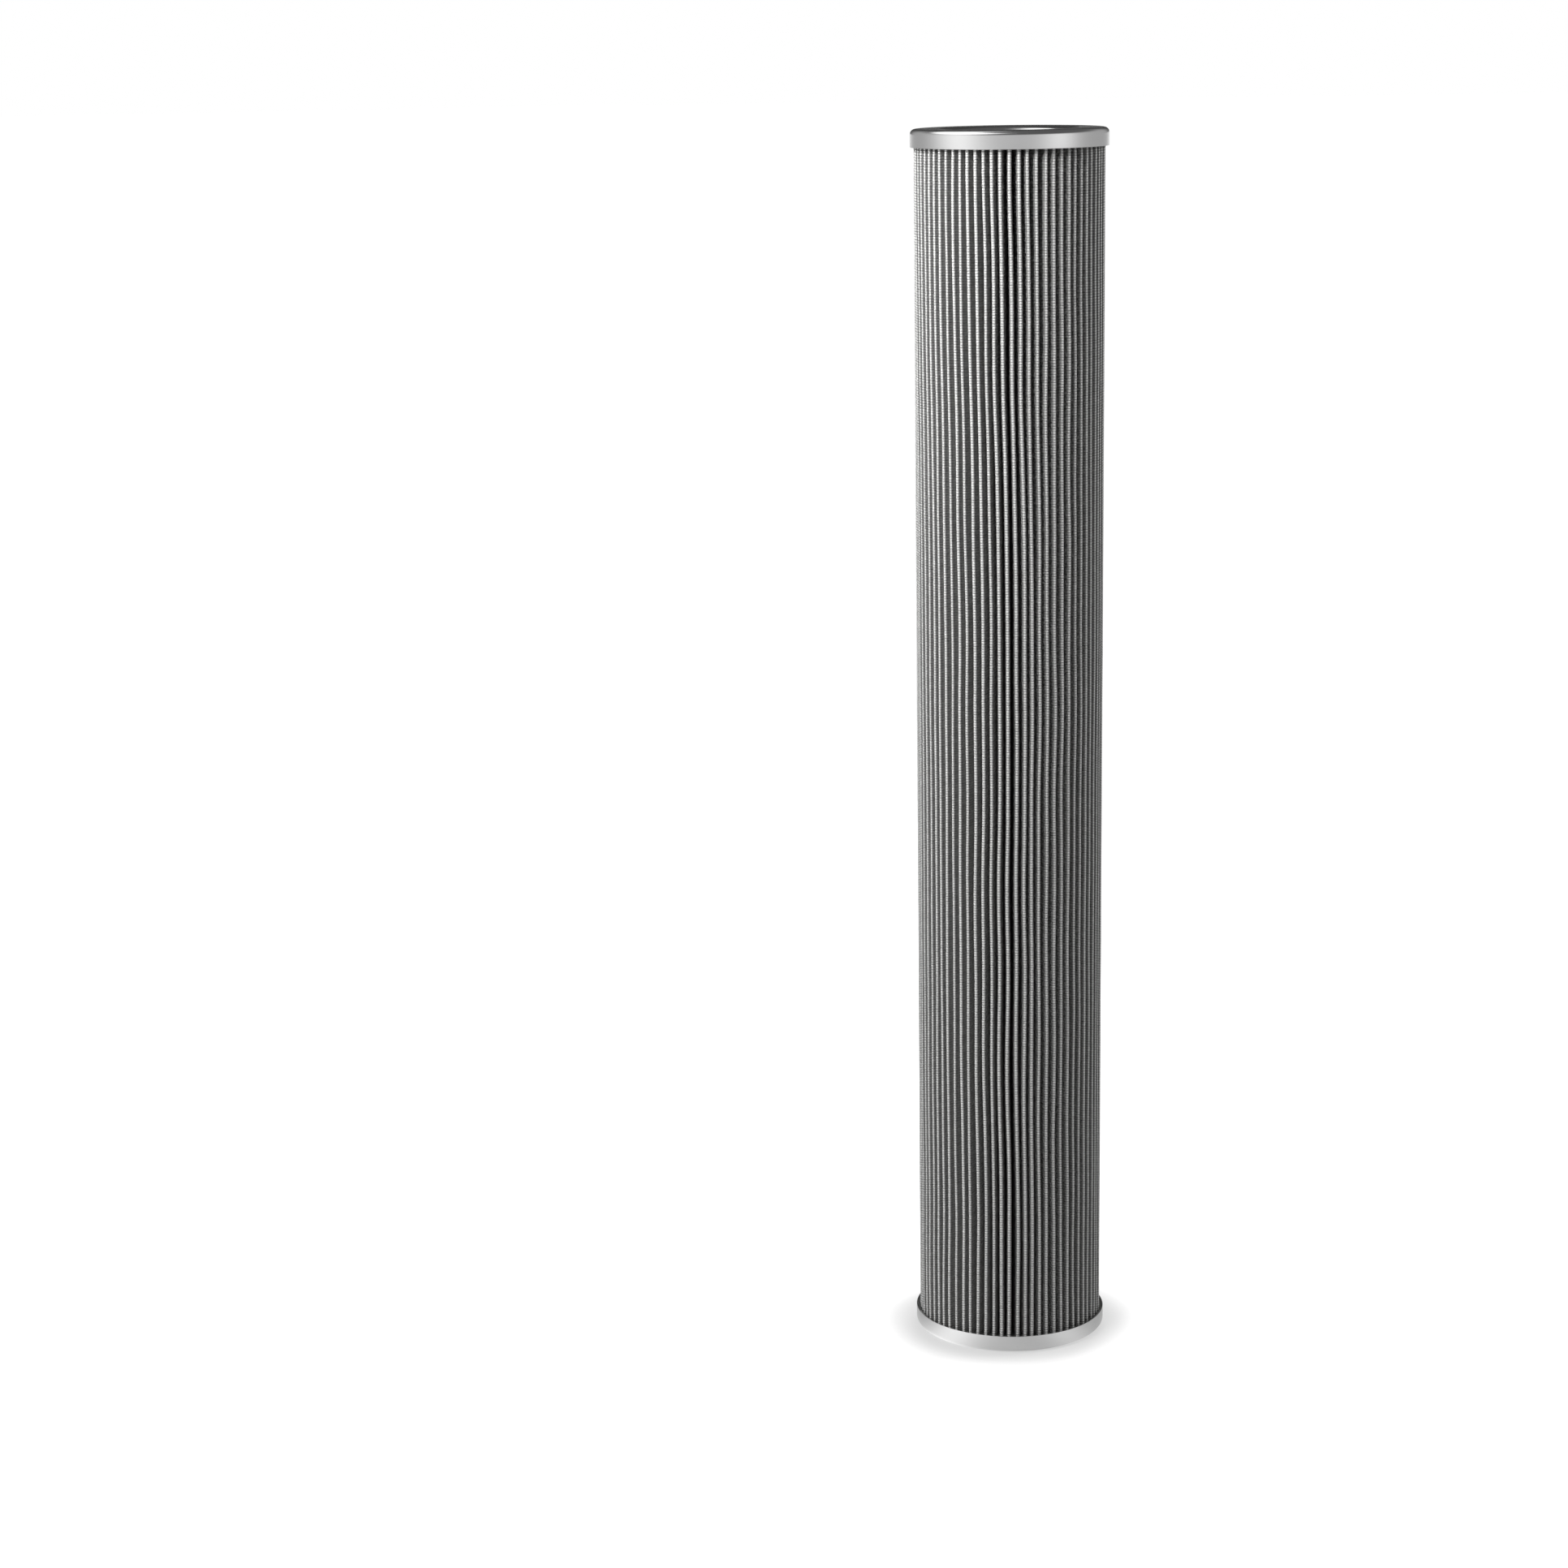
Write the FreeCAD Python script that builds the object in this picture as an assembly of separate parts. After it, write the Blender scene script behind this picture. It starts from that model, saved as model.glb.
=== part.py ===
"""Pleated hydraulic filter element, open at both ends, standing on its lower end cap.

Millimetres. +Z runs along the element's axis. The origin is the centre of the lower end face.
The pleat pack is three layers folded together: an outer support mesh, the filter media and an
inner support mesh. It stands around a perforated core tube, between two pressed end caps that
are filled with potting compound. Each cap's neck holds a seal ring for the spigot of a housing.
"""
import FreeCAD, Part
import math
import os

from FreeCAD import Vector

# Overall sizes
total_length = 632.0
cap_diameter = 100.0
cap_skirt_height = 9.0
cap_corner_radius = 2.8
sheet_thickness = 0.8

# Mouth of the end cap, depths counted from the end face inwards
dish_diameter = 69.6
dish_depth = 1.2
dish_bend_radius = 2.4
lip_diameter = 58.6
lip_roll_radius = 1.5
seat_depth = 3.2
seat_corner_radius = 0.8
land_diameter = 49.2

# Seal ring and its groove
seal_cord_diameter = 1.8
seal_stand_in = 0.2
seal_side_clearance = 0.2
seal_back_clearance = 0.1
retainer_corner_radius = 0.3
collar_bend_radius = 1.2

# Core tube
core_diameter = 42.0
core_wall = 1.0
core_clearance = 0.1
core_end_recess = 1.0
core_hole_diameter = 7.0
core_hole_columns = 6
core_hole_rows = 9
core_hole_facets = 6
core_plain_end = 28.0

# Pleat pack
pleat_count = 70
pleat_tip_clearance = 0.9
pleat_tip_width = 2.3
valley_gap = 0.1
outer_mesh_thickness = 0.34
media_thickness = 0.32
inner_mesh_thickness = 0.26
pack_end_depth = 8.4

# Side seam, where the two ends of the folded pack are bonded
seam_trim = 2.6
seam_bond_depth = 11.0

# Values that follow from the sizes above
cap_radius = cap_diameter / 2
lip_radius = lip_diameter / 2
land_radius = land_diameter / 2
core_radius = core_diameter / 2
collar_radius = core_radius + core_clearance
groove_top_depth = seat_depth + sheet_thickness
groove_width = seal_cord_diameter + 2 * seal_side_clearance
shelf_depth = groove_top_depth + groove_width
seal_inner_radius = land_radius - seal_stand_in
seal_ring_radius = seal_inner_radius + seal_cord_diameter / 2
groove_radius = seal_inner_radius + seal_cord_diameter + seal_back_clearance
pack_thickness = outer_mesh_thickness + media_thickness + inner_mesh_thickness
pleat_angle = 360.0 / pleat_count
pleat_tip_radius = cap_radius - sheet_thickness - pleat_tip_clearance
tip_centre_radius = pleat_tip_radius - pleat_tip_width / 2
valley_centre_radius = collar_radius + pack_thickness + valley_gap / 2
pack_length = total_length - 2 * pack_end_depth
seam_pleat = round(90 / pleat_angle)
seam_radius = pleat_tip_radius - seam_trim


def point(radius, height):
    """A point of a section drawn in the XZ plane."""
    return Vector(radius, 0, height)


def left_of(direction):
    """The direction turned a quarter turn to the left in the XZ plane."""
    return Vector(-direction.z, 0, direction.x)


def directions_of(points):
    """Unit direction of each run of a chain of points."""
    return [(b - a).normalize() for a, b in zip(points, points[1:])]


def other_side(points, radii, thickness):
    """The chain at a sheet's other side, on the left, and the bend radii that it has there."""
    runs = directions_of(points)
    moved = [points[0] + left_of(runs[0]) * thickness]
    moved_radii = [0.0]
    for before, after, corner, radius in zip(runs, runs[1:], points[1:], radii[1:]):
        turn = before.x * after.z - before.z * after.x
        side = left_of(before) + left_of(after)
        moved.append(corner + side * (thickness / (1 + before.dot(after))))
        moved_radii.append(radius - math.copysign(thickness, turn))
    moved.append(points[-1] + left_of(runs[-1]) * thickness)
    moved_radii.append(0.0)
    return moved, moved_radii


def bend_arc(corner, before, after, radius):
    """Start, middle and end of the arc that rounds the corner between two directions."""
    half_turn = before.getAngle(after) / 2
    tangent_length = radius * math.tan(half_turn)
    start = corner - before * tangent_length
    end = corner + after * tangent_length
    inward = (after - before).normalize()
    middle = corner + inward * (radius / math.cos(half_turn) - radius)
    return start, middle, end


def rounded_outline(points, radii):
    """Closed wire through the points, with an arc of its own radius at each corner."""
    edges = []
    ends = []
    count = len(points)
    for i in range(count):
        corner = points[i]
        before = (corner - points[i - 1]).normalize()
        after = (points[(i + 1) % count] - corner).normalize()
        if radii[i] > 0:
            start, middle, end = bend_arc(corner, before, after, radii[i])
            edges.append(Part.Arc(start, middle, end).toShape())
            ends.append((start, end))
        else:
            ends.append((corner, corner))
    for i in range(count):
        line_start = ends[i][1]
        line_end = ends[(i + 1) % count][0]
        edges.append(Part.LineSegment(line_start, line_end).toShape())
    return Part.Wire(Part.__sortEdges__(edges))


def turned(wire):
    """Solid of revolution about the element's axis."""
    return Part.Face(wire).revolve(Vector(0, 0, 0), Vector(0, 0, 1), 360)


def sheet_section(points, radii):
    """Closed section of a pressed sheet whose visible side follows the points."""
    back, back_radii = other_side(points, radii, sheet_thickness)
    outline = points + back[::-1]
    outline_radii = radii + back_radii[::-1]
    return rounded_outline(outline, outline_radii)


def cap_line():
    """Visible side of the upper cap, from the skirt's edge over the face and into the mouth."""
    top = total_length
    dish_radius = dish_diameter / 2
    corners = [
        (point(cap_radius, top - cap_skirt_height), 0.0),
        (point(cap_radius, top), cap_corner_radius),
        (point(dish_radius, top), dish_bend_radius),
        (point(lip_radius, top - dish_depth), lip_roll_radius),
        (point(lip_radius, top - seat_depth), seat_corner_radius),
        (point(land_radius, top - seat_depth), 0.0),
    ]
    return [corner for corner, radius in corners], [radius for corner, radius in corners]


def retainer_line():
    """Groove side of the upper seal retainer, from the seat down the groove to the collar's end."""
    top = total_length
    corners = [
        (point(groove_radius, top - groove_top_depth), 0.0),
        (point(groove_radius, top - shelf_depth), retainer_corner_radius),
        (point(collar_radius, top - shelf_depth), collar_bend_radius),
        (point(collar_radius, top - pack_end_depth), 0.0),
    ]
    return [corner for corner, radius in corners], [radius for corner, radius in corners]


def make_end_cap():
    """Pressed cap with a skirt, a flat face, a dished lip and a seat that ends at the land."""
    points, radii = cap_line()
    return turned(sheet_section(points, radii))


def make_seal_retainer():
    """Pressed ring under the seat: it closes the seal groove and centres the core tube."""
    points, radii = retainer_line()
    return turned(sheet_section(points, radii))


def make_seal_ring():
    """Seal ring of round section, lying in its groove."""
    middle = total_length - (groove_top_depth + shelf_depth) / 2
    return Part.makeTorus(seal_ring_radius, seal_cord_diameter / 2, Vector(0, 0, middle))


def make_potting():
    """Compound that fills the cap around the neck, up to the ends of the pleats."""
    cap_back, cap_radii = other_side(*cap_line(), sheet_thickness)
    ring_back, ring_radii = other_side(*retainer_line(), sheet_thickness)
    level = total_length - pack_end_depth
    points = [point(cap_back[0].x, level)]
    points += cap_back[1:-1]
    points += [point(ring_back[0].x, cap_back[-1].z)]
    points += ring_back[1:]
    radii = [0.0] + cap_radii[1:-1] + [0.0] + ring_radii[1:]
    return turned(rounded_outline(points, radii))


def make_core_tube():
    """Tube with rows of round holes, each row turned half a step against the last."""
    inner_radius = core_radius - core_wall
    end_depth = shelf_depth + core_end_recess
    length = total_length - 2 * end_depth
    base = Vector(0, 0, end_depth)
    tube = Part.makeCylinder(core_radius, length, base)
    tube = tube.cut(Part.makeCylinder(inner_radius, length, base))
    spacing = (length - 2 * core_plain_end) / (core_hole_rows - 1)
    step = 360.0 / core_hole_columns
    drills = []
    for row in range(core_hole_rows):
        height = end_depth + core_plain_end + row * spacing
        for column in range(core_hole_columns):
            drills.append(make_drill(step * (column + 0.5 * (row % 2)), height))
    return tube.cut(drills)


def make_drill(angle, height):
    """Radial prism that cuts one perforation, with a flat for each facet of its round."""
    corners = []
    for corner in range(core_hole_facets + 1):
        turn = math.radians(360.0 / core_hole_facets * (corner + 0.5))
        corners.append(Vector(0, math.cos(turn), math.sin(turn)) * (core_hole_diameter / 2))
    drill = Part.Face(Part.makePolygon(corners)).extrude(Vector(core_radius, 0, 0))
    drill.translate(Vector((core_radius - core_wall) / 2, 0, height))
    drill.rotate(Vector(0, 0, 0), Vector(0, 0, 1), angle)
    return drill


def pleat_frame(index):
    """Outward and sideways directions on the middle line of a pleat, or of a valley at a half."""
    angle = math.radians(index * pleat_angle)
    return Vector(math.cos(angle), math.sin(angle), 0), Vector(-math.sin(angle), math.cos(angle), 0)


def bend(index, centre_radius, sign, radius, facets):
    """Half turn of a bend in flat facets, bulging outwards for sign 1 and inwards for sign -1."""
    out, side = pleat_frame(index)
    corners = []
    for step in range(facets + 1):
        turn = math.pi * step / facets
        reach = out * (sign * math.sin(turn)) - side * math.cos(turn)
        corners.append(out * centre_radius + reach * radius)
    return corners


def fold_outline(offset, facets_at_tip, facets_at_valley):
    """Closed outline of one side of a layer, at its distance from the pack's outside.

    Each pleat is a bend about a centre near its tip, and each valley a bend about a centre
    near the core, with straight legs between them. All layers share these centres.
    """
    tip_radius = pleat_tip_width / 2 - offset
    valley_radius = valley_gap / 2 + offset
    corners = []
    for pleat in range(pleat_count):
        corners += bend(pleat, tip_centre_radius, 1, tip_radius, facets_at_tip)
        corners += bend(pleat + 0.5, valley_centre_radius, -1, valley_radius, facets_at_valley)
    return Part.makePolygon(corners + corners[:1])


def make_layer(outside, thickness, outer_facets, inner_facets):
    """One folded layer of the pack, as long as the pack and trimmed at the side seam."""
    outer = fold_outline(outside, *outer_facets)
    inner = fold_outline(outside + thickness, *inner_facets)
    section = Part.makeFace([outer, inner], "Part::FaceMakerBullseye")
    section.translate(Vector(0, 0, pack_end_depth))
    layer = section.extrude(Vector(0, 0, pack_length))
    return layer.cut(make_seam_cutter())


def make_seam_cutter():
    """Block that trims the tip off the pleat at the back, where the pack's two ends meet."""
    out, side = pleat_frame(seam_pleat)
    corners = []
    for reach, sign in ((0, -1), (0, 1), (2 * seam_trim, 1), (2 * seam_trim, -1)):
        corners.append(out * (seam_radius + reach) + side * (sign * pleat_tip_width))
    block = Part.Face(Part.makePolygon(corners + corners[:1]))
    return block.extrude(Vector(0, 0, total_length))


def make_side_seam():
    """Strip of sealant between the two end legs, from their trimmed ends down to the bond's depth."""
    out, side = pleat_frame(seam_pleat)
    tip_ends = bend(seam_pleat, tip_centre_radius, 1, pleat_tip_width / 2 - pack_thickness, 1)
    valley_reach = valley_gap / 2 + pack_thickness
    before = bend(seam_pleat - 0.5, valley_centre_radius, -1, valley_reach, 1)
    after = bend(seam_pleat + 0.5, valley_centre_radius, -1, valley_reach, 1)
    corners = []
    for tip_end, root, order in ((tip_ends[0], before[1], 1), (tip_ends[1], after[0], -1)):
        for radius in (seam_radius - seam_bond_depth, seam_radius)[::order]:
            share = (tip_end.dot(out) - radius) / (tip_end - root).dot(out)
            corners.append(tip_end + (root - tip_end) * share)
    strip = Part.Face(Part.makePolygon(corners + corners[:1]))
    strip.translate(Vector(0, 0, pack_end_depth))
    return strip.extrude(Vector(0, 0, pack_length))


def at_lower_end(shape):
    """The same piece at the other end, mirrored about the middle of the element."""
    return shape.mirror(Vector(0, 0, total_length / 2), Vector(0, 0, 1))


def save(shape, node):
    """Write one piece as its own STEP file."""
    solid = shape.Solids[0]
    solid.exportStep(f"parts/{node}.step")
    print(node, "solids", len(shape.Solids), "valid", solid.isValid(), "volume", round(solid.Volume, 1))


def main():
    os.makedirs("parts", exist_ok=True)
    ends = {
        "end_cap": make_end_cap(),
        "seal_retainer": make_seal_retainer(),
        "seal_ring": make_seal_ring(),
        "potting": make_potting(),
    }
    for name, shape in ends.items():
        save(shape, f"upper_{name}")
        save(at_lower_end(shape), f"lower_{name}")
    save(make_core_tube(), "core_tube")
    media_outside = outer_mesh_thickness
    media_inside = outer_mesh_thickness + media_thickness
    save(make_layer(0.0, outer_mesh_thickness, (4, 1), (2, 2)), "outer_support_mesh")
    save(make_layer(media_outside, media_thickness, (2, 2), (2, 2)), "filter_media")
    save(make_layer(media_inside, inner_mesh_thickness, (2, 2), (1, 2)), "inner_support_mesh")
    save(make_side_seam(), "side_seam_sealant")


main()
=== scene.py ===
"""Pleated hydraulic filter element, dressed for a studio picture.

The pressed end caps, the seal retainers, the seal rings, the perforated core tube and the three
folded layers of the pleat pack are surfaces worked out with numpy, in metres, in the frame of
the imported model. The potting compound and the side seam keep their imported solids.
"""
import math

import bpy
import numpy as np
from bpy.props import FloatProperty, FloatVectorProperty, IntProperty, PointerProperty
from mathutils import Matrix, Vector


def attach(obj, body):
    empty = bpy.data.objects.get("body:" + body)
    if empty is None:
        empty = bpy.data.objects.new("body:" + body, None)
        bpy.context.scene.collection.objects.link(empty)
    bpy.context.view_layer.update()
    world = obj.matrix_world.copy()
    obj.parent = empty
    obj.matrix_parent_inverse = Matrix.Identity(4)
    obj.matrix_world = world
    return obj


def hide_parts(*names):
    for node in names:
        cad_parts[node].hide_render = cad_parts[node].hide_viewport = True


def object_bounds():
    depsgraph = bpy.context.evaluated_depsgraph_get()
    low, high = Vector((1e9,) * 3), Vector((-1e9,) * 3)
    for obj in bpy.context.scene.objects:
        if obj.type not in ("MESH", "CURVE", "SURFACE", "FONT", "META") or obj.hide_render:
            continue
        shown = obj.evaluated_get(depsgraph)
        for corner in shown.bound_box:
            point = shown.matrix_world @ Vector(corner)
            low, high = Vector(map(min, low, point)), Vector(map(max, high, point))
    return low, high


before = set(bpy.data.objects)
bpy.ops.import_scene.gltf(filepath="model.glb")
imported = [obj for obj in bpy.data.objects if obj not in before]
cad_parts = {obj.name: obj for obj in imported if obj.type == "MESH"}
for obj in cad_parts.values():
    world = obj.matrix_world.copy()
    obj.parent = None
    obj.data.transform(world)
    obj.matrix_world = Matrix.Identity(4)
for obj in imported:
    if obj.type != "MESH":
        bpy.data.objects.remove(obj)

bl_info = {
    "name": "Pleated Filter Element",
    "version": (1, 0, 0),
    "blender": (4, 5, 0),
    "location": "View3D > Sidebar > Filter Element",
    "description": "Builds and dresses a pleated hydraulic filter element with pressed end caps",
    "category": "Add Mesh",
}

PACKED_LOW, PACKED_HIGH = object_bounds()
TOTAL_LENGTH = PACKED_HIGH.z - PACKED_LOW.z
MM = 0.001
SMOOTH_BELOW = math.radians(38)


def length(name, description, default):
    """A distance that the sidebar shows in the scene's own unit."""
    return FloatProperty(
        name=name, description=description, default=default, precision=5, unit="LENGTH"
    )


def tilt(name, description, degrees):
    """An angle that the sidebar shows in the scene's own unit."""
    return FloatProperty(
        name=name, description=description, default=math.radians(degrees), subtype="ANGLE"
    )


def colour(name, description, default):
    """A colour picked in the sidebar, as linear red, green and blue."""
    return FloatVectorProperty(
        name=name, description=description, default=default, subtype="COLOR", min=0.0, max=1.0
    )


class CapSizes(bpy.types.PropertyGroup):
    """Sizes of an end cap, with its mouth, its seal retainer and its seal ring."""

    diameter: length("Cap diameter", "Outside of the skirt", 100 * MM)
    skirt: length("Skirt height", "From the end face to the skirt's edge", 9 * MM)
    corner: length("Corner radius", "Bend between the skirt and the face", 2.8 * MM)
    sheet: length("Sheet thickness", "Thickness of the pressed steel", 0.8 * MM)
    cut_edge: length("Cut edge", "Rounding of the sheet's cut edges", 0.14 * MM)
    dish: length("Dish diameter", "Where the face begins to dip to the lip", 69.6 * MM)
    dish_depth: length("Dish depth", "How far the dish sinks below the face", 1.2 * MM)
    dish_bend: length("Dish bend", "Bend radius at the dish's outer edge", 2.4 * MM)
    lip: length("Lip diameter", "Bore inside the rolled lip", 58.6 * MM)
    lip_roll: length("Lip roll", "Bend radius of the lip", 1.5 * MM)
    seat_depth: length("Seat depth", "From the end face to the seat", 3.2 * MM)
    seat_corner: length("Seat corner", "Bend radius at the seat", 0.8 * MM)
    land: length("Land diameter", "Bore at the seat's inner edge", 49.2 * MM)
    groove: length("Groove diameter", "Bottom of the seal groove", 52.6 * MM)
    shelf_depth: length("Shelf depth", "From the end face to the retainer's shelf", 6.2 * MM)
    shelf_corner: length("Shelf corner", "Bend radius at the bottom of the groove", 0.3 * MM)
    collar: length("Collar diameter", "Bore of the retainer's collar", 42.2 * MM)
    collar_bend: length("Collar bend", "Bend radius above the collar", 1.2 * MM)
    cord: length("Seal cord", "Diameter of the seal ring's section", 1.8 * MM)
    seal_bore: length("Seal bore", "Inside diameter of the seal ring", 48.8 * MM)


class PackSizes(bpy.types.PropertyGroup):
    """Sizes of the folded pack and of the wires in its support mesh."""

    pleats: IntProperty(name="Pleats", description="Folds round the pack", default=70, min=8)
    tip_diameter: length("Tip diameter", "Outside of the pleats", 96.6 * MM)
    tip_width: length("Tip width", "Width of a pleat at its tip", 2.3 * MM)
    bore: length("Pack bore", "Inside of the folded pack, round the core tube", 42.2 * MM)
    valley_gap: length("Valley gap", "Slot left at the bottom of a valley", 0.1 * MM)
    end_depth: length("End depth", "From the end face to the end of the pleats", 8.4 * MM)
    outer_mesh: length("Outer mesh", "Thickness of the outer support mesh", 0.34 * MM)
    media: length("Media", "Thickness of the filter media", 0.32 * MM)
    inner_mesh: length("Inner mesh", "Thickness of the inner support mesh", 0.26 * MM)
    seam_trim: length("Seam trim", "Cut off the tip of the seam's pleat", 2.6 * MM)
    seam_pleat: IntProperty(name="Seam pleat", description="Pleat that is bonded", default=18)
    uneven: length("Uneven spacing", "How far a pleat stands off its even place", 0.19 * MM)
    lean: length("Lean", "How far the pleats lean sideways over their length", 4.3 * MM)
    drift: length("Drift", "How far a pleat wanders sideways along its length", 0.30 * MM)
    wire_pitch: length("Wire pitch", "Spacing of the wires round the folds", 1.35 * MM)
    warp_pitch: length("Warp pitch", "Spacing of the wires along the folds", 1.15 * MM)
    seed: IntProperty(name="Seed", description="Start of the uneven numbers", default=11)


class CoreSizes(bpy.types.PropertyGroup):
    """Sizes of the perforated core tube."""

    diameter: length("Core diameter", "Outside of the tube", 42 * MM)
    wall: length("Core wall", "Thickness of the tube's sheet", 1 * MM)
    end_depth: length("Core end depth", "From the end face to the tube's end", 7.2 * MM)
    hole: length("Hole diameter", "Diameter of a perforation", 3.0 * MM)
    row_pitch: length("Row pitch", "Spacing of the rows of holes", 6.5 * MM)
    columns: IntProperty(name="Columns", description="Holes in one row", default=20, min=6)


class Finishes(bpy.types.PropertyGroup):
    """Colours of the finishes, and of the painted shade in the openings of the wire mesh."""

    cap_steel: colour("Cap steel", "Pressed sheet of the end caps", (0.55, 0.55, 0.55))
    retainer_steel: colour("Retainer steel", "Pressed ring in the mouth", (0.40, 0.40, 0.395))
    wire: colour("Wire", "Crests of the support mesh's wires", (0.80, 0.80, 0.79))
    # painted shade: near black put in the wire mesh's openings, where the media behind lies in
    # shade
    painted_gap_shade: colour("Wire shade", "Openings between the wires", (0.02, 0.02, 0.019))
    media: colour("Media", "Pressed fibre", (0.62, 0.61, 0.57))
    core: colour("Core", "Black coating of the core tube", (0.018, 0.018, 0.019))
    rubber: colour("Rubber", "Seal rings", (0.012, 0.012, 0.012))
    compound: colour("Compound", "Potting compound and seam sealant", (0.05, 0.05, 0.048))


class StageSizes(bpy.types.PropertyGroup):
    """Sizes and angles of the camera, the floor and the studio wall."""

    camera_distance: length("Camera distance", "In front of the element's axis", 1750 * MM)
    camera_height: length("Camera height", "Above the floor", 683.2 * MM)
    camera_turn: tilt("Camera turn", "To the right, from facing the axis", -3.855)
    camera_dip: tilt("Camera dip", "Below the horizon", 12.464)
    camera_roll: tilt("Camera roll", "About its own line of sight", -0.844)
    camera_lens: FloatProperty(name="Lens", description="Focal length in millimetres", default=78.7)
    floor_size: length("Floor", "Diameter of the round floor", 60.0)
    wall_radius: length("Wall radius", "Round the element, seen by reflections only", 4.0)
    wall_height: length("Wall height", "Of the reflected wall", 3.0)


# Surfaces

def fill(elements, key, values, kind=np.float32):
    """One property of all of a mesh's elements, set from an array."""
    elements.foreach_set(key, np.ascontiguousarray(values, dtype=kind).ravel())


def mesh_piece(name, points, quads, material, slot, nodes, cloth=None, depth=None):
    """New piece from an array of points and an array of four-cornered faces.

    Edges that bend by less than SMOOTH_BELOW are shaded smooth. cloth holds one pair of surface
    coordinates for each corner of each face, and depth how far each point lies below the tip of
    its own pleat, both in millimetres.
    """
    mesh = bpy.data.meshes.new(name)
    mesh.vertices.add(len(points))
    fill(mesh.vertices, "co", points)
    mesh.loops.add(quads.size)
    fill(mesh.loops, "vertex_index", quads, np.int32)
    mesh.polygons.add(len(quads))
    fill(mesh.polygons, "loop_start", np.arange(0, quads.size, 4), np.int32)
    mesh.update(calc_edges=True)
    if cloth is not None:
        fill(mesh.uv_layers.new(name="cloth").uv, "vector", cloth)
    if depth is not None:
        fill(mesh.attributes.new("depth", "FLOAT", "POINT").data, "value", depth)
    if mesh.validate():
        raise RuntimeError(f"{name} has faces that don't close")
    fill(mesh.polygons, "use_smooth", np.ones(len(quads)), bool)
    mesh.set_sharp_from_angle(angle=SMOOTH_BELOW)
    piece = bpy.data.objects.new(name, mesh)
    bpy.context.scene.collection.objects.link(piece)
    mesh.materials.append(material)
    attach(piece, "root")
    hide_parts(*nodes)


def around(angle, radius, height):
    """Points about the axis: (radius cos angle, radius sin angle, height) for whole arrays."""
    points = np.broadcast_arrays(radius * np.cos(angle), radius * np.sin(angle), height)
    return np.stack(points, axis=-1)


def wrapped_quads(rows, columns, wrap_rows):
    """Faces of a grid whose columns close on themselves, and its rows too where asked.

    Corner order: this row and column, the next column, the next row and column, the next row.
    """
    row = np.arange(rows if wrap_rows else rows - 1)[:, None]
    column = np.arange(columns)[None, :]
    after = (column + 1) % columns
    above = (row + 1) % rows
    corners = (row * columns + column, row * columns + after, above * columns + after,
               above * columns + column)
    return np.stack(np.broadcast_arrays(*corners), axis=-1).reshape(-1, 4)


def unit(vectors):
    """Each vector divided by its own length."""
    return vectors / np.linalg.norm(vectors, axis=-1, keepdims=True)


def other_side(corners, radii, thickness):
    """The chain on the left of a chain of corners, a sheet's thickness away, and its bend radii.

    A corner moves along the sum of its two left-hand directions, by the thickness divided by
    one plus the cosine of the turn. A left turn tightens the bend, and a right turn opens it.
    """
    runs = unit(np.diff(corners, axis=0))
    left = np.stack((-runs[:, 1], runs[:, 0]), axis=1)
    turns = runs[:-1, 0] * runs[1:, 1] - runs[:-1, 1] * runs[1:, 0]
    cosines = (runs[:-1] * runs[1:]).sum(axis=1)
    middle = corners[1:-1] + (left[:-1] + left[1:]) * (thickness / (1 + cosines))[:, None]
    first = corners[:1] + left[:1] * thickness
    last = corners[-1:] + left[-1:] * thickness
    moved = np.concatenate((first, middle, last))
    inner_radii = np.array(radii[1:-1]) - np.sign(turns) * thickness
    return moved, [radii[0], *inner_radii, radii[-1]]


def rounded(corners, radii, steps=10):
    """Closed outline with an arc at each corner that has a radius.

    The arc touches both runs at the radius times the tangent of half the turn from the corner,
    and is a sum of its start and end directions about its own centre, by the sine rule.
    """
    before = unit(corners - np.roll(corners, 1, axis=0))
    after = unit(np.roll(corners, -1, axis=0) - corners)
    outline = []
    for corner, inward, outward, radius in zip(corners, before, after, radii):
        if radius <= 0:
            outline.append(corner[None, :])
            continue
        turn = math.acos(max(-1.0, min(1.0, float(inward @ outward))))
        start = corner - inward * radius * math.tan(turn / 2)
        centre = corner + unit(outward - inward) * radius / math.cos(turn / 2)
        end = corner + outward * radius * math.tan(turn / 2)
        share = np.linspace(0.0, 1.0, steps + 1)[:, None]
        from_start = np.sin((1 - share) * turn) * (start - centre)
        from_end = np.sin(share * turn) * (end - centre)
        outline.append(centre + (from_start + from_end) / math.sin(turn))
    return np.concatenate(outline)


def turned(profile, segments):
    """Ring swept by a closed profile about the axis: each point keeps its height and turns.

    The profile runs clockwise as seen with the axis on its left, so the faces look outwards.
    """
    angles = np.linspace(0.0, 2 * math.pi, segments, endpoint=False)[:, None]
    points = around(angles, profile[None, :, 0], profile[None, :, 1])
    quads = wrapped_quads(segments, len(profile), wrap_rows=True)
    return points.reshape(-1, 3), quads


def facing_out(profile):
    """The closed profile in the order that turned() needs, found from its signed area."""
    following = np.roll(profile, -1, axis=0)
    area = (profile[:, 0] * following[:, 1] - following[:, 0] * profile[:, 1]).sum()
    return profile[::-1] if area > 0 else profile


def at_end(profile, upper):
    """The profile, given at the upper end, there or mirrored about the element's middle."""
    if upper:
        return profile
    return profile * np.array((1.0, -1.0)) + np.array((0.0, TOTAL_LENGTH))


def sheet_profile(corners, radii, sheet, cut_edge):
    """Closed section of a pressed sheet: its visible side, its back, and its rounded cut edges."""
    back, back_radii = other_side(corners, radii, sheet)
    outline = np.concatenate((corners, back[::-1]))
    outline_radii = [*radii, *back_radii[::-1]]
    for place in (0, len(corners) - 1, len(corners), len(outline) - 1):
        outline_radii[place] = cut_edge
    return rounded(outline, outline_radii)


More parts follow.
